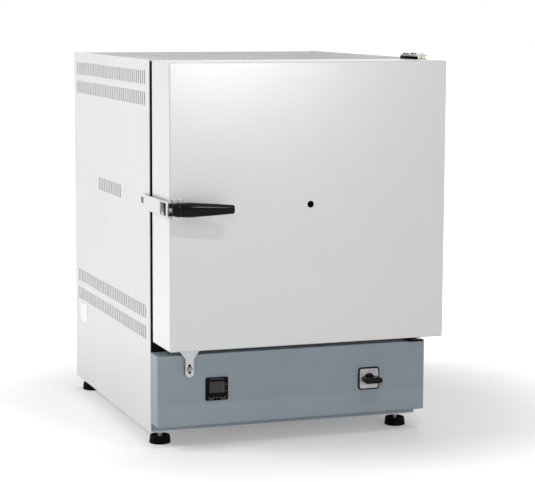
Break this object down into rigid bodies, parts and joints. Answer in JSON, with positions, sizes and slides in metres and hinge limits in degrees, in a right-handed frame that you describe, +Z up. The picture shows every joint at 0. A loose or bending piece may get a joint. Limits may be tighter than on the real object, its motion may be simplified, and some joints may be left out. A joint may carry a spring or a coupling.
{
  "type": "muffle furnace",
  "caption": "Bench-top laboratory muffle furnace with a side-hinged insulated door, cam latch handle, vented casing, electrically heated chamber, temperature controller and rotary switch.",
  "frame": {"origin": "centre of the bounding box's underside, where the feet stand", "axes": "+X to the right as seen from the front, +Y from the door to the rear, +Z up"},
  "size_m": [0.6066, 0.8514, 0.814],
  "materials": {
    "casing_paint": "semi-gloss light grey-white",
    "cover_paint": "semi-gloss light grey",
    "door_paint": "semi-gloss with a fine orange-peel texture",
    "panel_paint": "satin slate grey",
    "black_paint": "satin black",
    "inner_steel": "galvanised sheet",
    "fibre_board": "matte felted ceramic fibre",
    "throat_brick": "matte vacuum-formed refractory fibre",
    "heater_ceramic": "matte refractory",
    "hearth_ceramic": "matte, fine-grained",
    "heating_wire": "oxidised resistance wire",
    "sheath_ceramic": "smooth fired ceramic",
    "gasket_rope": "woven rope",
    "black_plastic": "fine matte",
    "black_gloss_plastic": "glossy with a faint grain",
    "grey_plastic": "matte",
    "white_plastic": "matte",
    "key_plastic": "matte",
    "display_plastic": "smooth window film",
    "switch_aluminium": "satin",
    "aluminium_extrusion": "extruded",
    "zinc_steel": "bright zinc plating",
    "yellow_zinc": "yellow-passivated zinc",
    "screw_steel": "dark zinc",
    "black_steel": "satin black",
    "foot_rubber": "matte",
    "brass_bush": "turned"
  },
  "bodies": {
    "casing": {"base_tray": "casing_paint", "cable_gland": "black_plastic", "casing_screws": "screw_steel", "control_panel": "panel_paint", "controller_body": "black_plastic", "controller_screen": "display_plastic", "deck_plate": "inner_steel", "din_rail": "zinc_steel", "foot_nuts": "zinc_steel", "foot_studs": "zinc_steel", "front_frame": "black_paint", "hearth_plate": "hearth_ceramic", "heater_plate_roof": "heater_ceramic", "heater_plates_side": "heater_ceramic", "heating_coil_roof": "heating_wire", "heating_coils_side": "heating_wire", "heatsink": "aluminium_extrusion", "hinge_pins": "yellow_zinc", "inner_shell": "inner_steel", "insulation_rear": "fibre_board", "insulation_sides": "fibre_board", "insulation_slabs": "fibre_board", "interlock_switch": "black_plastic", "keeper_strap": "door_paint", "left_side_panel": "casing_paint", "levelling_feet": "foot_rubber", "lower_hinge_bracket": "black_paint", "muffle_back": "heater_ceramic", "rear_panel": "casing_paint", "right_side_panel": "casing_paint", "solid_state_relay": "white_plastic", "switch_body": "black_gloss_plastic", "switch_plate": "switch_aluminium", "terminal_block": "grey_plastic", "thermocouple_head": "grey_plastic", "thermocouple_sheath": "sheath_ceramic", "throat_frame": "throat_brick", "top_cover": "cover_paint", "upper_hinge_plate": "zinc_steel"},
    "door": {"door_shell": "door_paint", "door_back_plate": "inner_steel", "door_insulation": "fibre_board", "door_plug": "throat_brick", "door_gasket": "gasket_rope", "peep_tube": "sheath_ceramic", "door_bushes": "brass_bush", "switch_tab": "door_paint", "actuator_bolt": "zinc_steel", "door_screws": "zinc_steel", "latch_bracket": "zinc_steel", "latch_pin": "zinc_steel"},
    "handle": {"handle_lever": "black_steel", "handle_grip": "black_gloss_plastic"},
    "knob": {"switch_knob": "black_gloss_plastic"},
    "key_1": {"key_1": "key_plastic"},
    "key_2": {"key_2": "key_plastic"},
    "key_3": {"key_3": "key_plastic"},
    "key_4": {"key_4": "key_plastic"},
    "key_5": {"key_5": "key_plastic"},
    "plunger": {"interlock_plunger": "white_plastic"}
  },
  "joints": [
    {"name": "door_swing", "type": "hinge", "parent": "casing", "child": "door", "pos_m": [0.28775, -0.28724, 0.512], "axis": [0, 0, 1], "range_deg": [0, 130]},
    {"name": "handle_swing", "type": "hinge", "parent": "door", "child": "handle", "pos_m": [-0.28925, -0.39874, 0.512], "axis": [0, 0, -1], "range_deg": [-14, 100]},
    {"name": "switch_turn", "type": "hinge", "parent": "casing", "child": "knob", "pos_m": [0.17405, -0.28624, 0.1254], "axis": [0, -1, 0], "range_deg": [0, 90]},
    {"name": "key_1_press", "type": "slide", "parent": "casing", "child": "key_1", "axis": [0, 1, 0], "range_m": [0, 0.0006], "stiffness_N_per_m": 500},
    {"name": "key_2_press", "type": "slide", "parent": "casing", "child": "key_2", "axis": [0, 1, 0], "range_m": [0, 0.0006], "stiffness_N_per_m": 500},
    {"name": "key_3_press", "type": "slide", "parent": "casing", "child": "key_3", "axis": [0, 1, 0], "range_m": [0, 0.0006], "stiffness_N_per_m": 500},
    {"name": "key_4_press", "type": "slide", "parent": "casing", "child": "key_4", "axis": [0, 1, 0], "range_m": [0, 0.0006], "stiffness_N_per_m": 500},
    {"name": "key_5_press", "type": "slide", "parent": "casing", "child": "key_5", "axis": [0, 1, 0], "range_m": [0, 0.0006], "stiffness_N_per_m": 500},
    {"name": "plunger_press", "type": "slide", "parent": "casing", "child": "plunger", "axis": [0, 1, 0], "range_m": [0, 0.003], "stiffness_N_per_m": 150}
  ]
}
